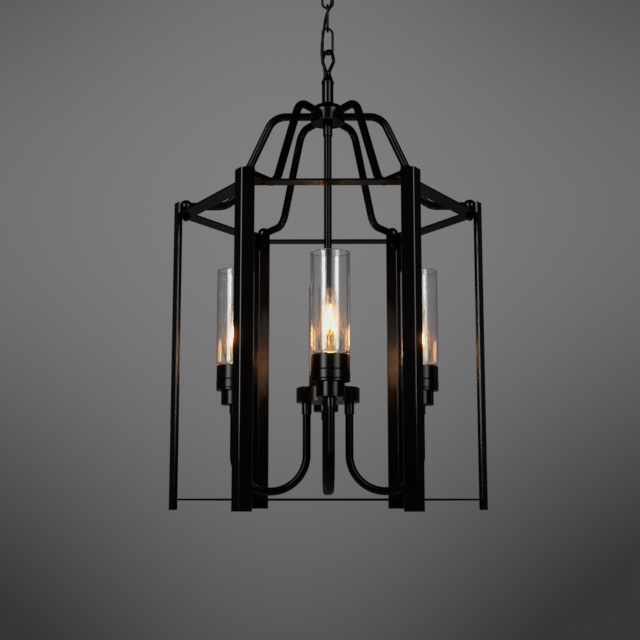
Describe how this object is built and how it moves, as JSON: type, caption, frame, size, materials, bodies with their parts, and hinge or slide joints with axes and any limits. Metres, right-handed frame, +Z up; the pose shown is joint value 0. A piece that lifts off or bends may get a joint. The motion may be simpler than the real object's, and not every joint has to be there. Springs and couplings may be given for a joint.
{
  "type": "outdoor hanging lantern",
  "caption": "Open hexagonal hanging lantern with a domed rod top, chain and ceiling rose, holding a cluster of candle lamps in clear glass tubes.",
  "frame": {"origin": "centre of the two ceiling screws, in the ceiling plane on top of the bracket", "axes": "+Z up into the ceiling, the lantern hangs down along -Z; +X to the right and -Y towards the viewer, with two corners of the cage on +-X"},
  "size_m": [0.4288, 0.3724, 0.8052],
  "materials": {
    "satin_black": "satin black paint on steel",
    "chain_black": "satin black paint on welded steel wire",
    "lead_black": "smooth black sheath",
    "shade_glass": "clear, fire-polished rim",
    "bulb_glass": "clear blown envelope",
    "bulb_cap": "nickel-toned pressed brass",
    "lampholder": "moulded cream plastic",
    "bracket_steel": "zinc-plated strip",
    "terminal": "moulded off-white plastic"
  },
  "bodies": {
    "ceiling": {"ceiling_bracket": "bracket_steel", "ceiling_rose": "satin_black", "ceiling_loop": "satin_black", "terminal_block": "terminal", "flex_1": "lead_black"},
    "link_1": {"chain_link_1": "chain_black", "flex_2": "lead_black"},
    "link_2": {"chain_link_2": "chain_black", "flex_3": "lead_black"},
    "link_3": {"chain_link_3": "chain_black", "flex_4": "lead_black"},
    "lantern": {"lantern_loop": "satin_black", "loop_stem": "satin_black", "top_hub": "satin_black", "dome_arm_1": "satin_black", "dome_arm_2": "satin_black", "dome_arm_3": "satin_black", "dome_arm_4": "satin_black", "dome_arm_5": "satin_black", "dome_arm_6": "satin_black", "corner_balls": "satin_black", "corner_bolts": "satin_black", "top_ring": "satin_black", "bottom_ring": "satin_black", "corner_post_1": "satin_black", "corner_post_2": "satin_black", "corner_post_3": "satin_black", "corner_post_4": "satin_black", "corner_post_5": "satin_black", "corner_post_6": "satin_black", "centre_rod": "satin_black", "tube_collars": "satin_black", "cluster_body": "satin_black", "cluster_cover": "satin_black", "lamp_arm_1": "satin_black", "lamp_arm_2": "satin_black", "lamp_arm_3": "satin_black", "lamp_arm_4": "satin_black", "lamp_cup_1": "satin_black", "lamp_cup_2": "satin_black", "lamp_cup_3": "satin_black", "lamp_cup_4": "satin_black", "gallery_1": "satin_black", "gallery_2": "satin_black", "gallery_3": "satin_black", "gallery_4": "satin_black", "lampholders": "lampholder"},
    "shade_1": {"glass_shade_1": "shade_glass"},
    "bulb_1": {"bulb_glass_1": "bulb_glass", "bulb_cap_1": "bulb_cap"},
    "shade_2": {"glass_shade_2": "shade_glass"},
    "bulb_2": {"bulb_glass_2": "bulb_glass", "bulb_cap_2": "bulb_cap"},
    "shade_3": {"glass_shade_3": "shade_glass"},
    "bulb_3": {"bulb_glass_3": "bulb_glass", "bulb_cap_3": "bulb_cap"},
    "shade_4": {"glass_shade_4": "shade_glass"},
    "bulb_4": {"bulb_glass_4": "bulb_glass", "bulb_cap_4": "bulb_cap"}
  },
  "joints": [
    {"name": "chain_swing_1", "type": "hinge", "parent": "ceiling", "child": "link_1", "pos_m": [0, 0, -0.0606], "axis": [0, 1, 0], "range_deg": [-30, 30], "deforming": ["flex_1"]},
    {"name": "chain_swing_2", "type": "hinge", "parent": "link_1", "child": "link_2", "pos_m": [0, 0, -0.09455], "axis": [1, 0, 0], "range_deg": [-30, 30], "deforming": ["flex_2"]},
    {"name": "chain_swing_3", "type": "hinge", "parent": "link_2", "child": "link_3", "pos_m": [0, 0, -0.12925], "axis": [0, 1, 0], "range_deg": [-30, 30], "deforming": ["flex_3"]},
    {"name": "chain_swing_4", "type": "hinge", "parent": "link_3", "child": "lantern", "pos_m": [0, 0, -0.16395], "axis": [0.9397, 0.342, 0], "range_deg": [-30, 30], "deforming": ["flex_4"]},
    {"name": "shade_lift_1", "type": "slide", "parent": "lantern", "child": "shade_1", "axis": [0, 0, 1], "range_m": [0, 0.11]},
    {"name": "bulb_lift_1", "type": "slide", "parent": "lantern", "child": "bulb_1", "axis": [0, 0, 1], "range_m": [0, 0.028]},
    {"name": "shade_lift_2", "type": "slide", "parent": "lantern", "child": "shade_2", "axis": [0, 0, 1], "range_m": [0, 0.083]},
    {"name": "bulb_lift_2", "type": "slide", "parent": "lantern", "child": "bulb_2", "axis": [0, 0, 1], "range_m": [0, 0.028]},
    {"name": "shade_lift_3", "type": "slide", "parent": "lantern", "child": "shade_3", "axis": [0, 0, 1], "range_m": [0, 0.11]},
    {"name": "bulb_lift_3", "type": "slide", "parent": "lantern", "child": "bulb_3", "axis": [0, 0, 1], "range_m": [0, 0.028]},
    {"name": "shade_lift_4", "type": "slide", "parent": "lantern", "child": "shade_4", "axis": [0, 0, 1], "range_m": [0, 0.083]},
    {"name": "bulb_lift_4", "type": "slide", "parent": "lantern", "child": "bulb_4", "axis": [0, 0, 1], "range_m": [0, 0.028]}
  ]
}
